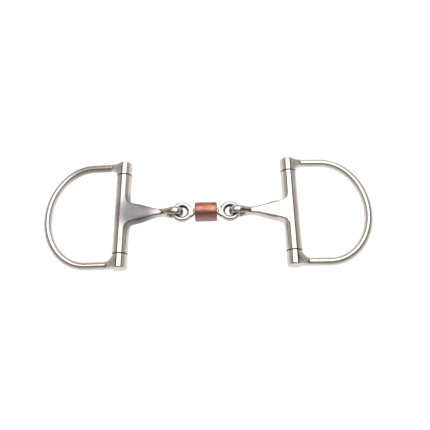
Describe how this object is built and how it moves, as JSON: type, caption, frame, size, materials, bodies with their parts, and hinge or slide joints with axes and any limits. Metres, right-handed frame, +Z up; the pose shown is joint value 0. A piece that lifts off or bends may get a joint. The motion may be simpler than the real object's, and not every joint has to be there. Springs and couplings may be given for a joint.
{
  "type": "snaffle bit",
  "caption": "Dee-ring snaffle bit with a double-jointed mouthpiece: hinged dee cheeks, tapered cannons and a copper roller turning on the centre link.",
  "frame": {"origin": "on the surface the bit lies on, under the middle of the roller", "axes": "+X along the mouthpiece towards the right cheek, +Y along the cheek posts towards their upper knuckles, +Z up from the surface"},
  "size_m": [0.2722, 0.094, 0.016],
  "materials": {
    "polished_steel": "polished",
    "copper": "satin"
  },
  "bodies": {
    "centre_link": {"link_spindle": "polished_steel", "link_eye": "polished_steel"},
    "roller": {"copper_roller": "copper"},
    "left_cannon": {"left_cannon": "polished_steel"},
    "right_cannon": {"right_cannon": "polished_steel"},
    "left_cheek": {"left_dee_ring": "polished_steel", "left_upper_knuckle": "polished_steel", "left_lower_knuckle": "polished_steel", "left_hinge_pin": "polished_steel"},
    "right_cheek": {"right_dee_ring": "polished_steel", "right_upper_knuckle": "polished_steel", "right_lower_knuckle": "polished_steel", "right_hinge_pin": "polished_steel"}
  },
  "joints": [
    {"name": "left_cannon_hinge", "type": "hinge", "parent": "centre_link", "child": "left_cannon", "pos_m": [-0.02615, 0, 0.008], "axis": [0, 1, 0], "range_deg": [-110, 110]},
    {"name": "left_cheek_hinge", "type": "hinge", "parent": "left_cannon", "child": "left_cheek", "pos_m": [-0.06977, 0, 0.0063], "axis": [0, -1, 0], "range_deg": [-165, 165]},
    {"name": "right_cannon_hinge", "type": "hinge", "parent": "centre_link", "child": "right_cannon", "pos_m": [0.02615, 0, 0.008], "axis": [0, -1, 0], "range_deg": [-110, 110]},
    {"name": "right_cheek_hinge", "type": "hinge", "parent": "right_cannon", "child": "right_cheek", "pos_m": [0.06977, 0, 0.0063], "axis": [0, 1, 0], "range_deg": [-165, 165]},
    {"name": "roller_spin", "type": "hinge", "parent": "centre_link", "child": "roller", "pos_m": [0, 0, 0.008], "axis": [1, 0, 0], "continuous": true}
  ]
}
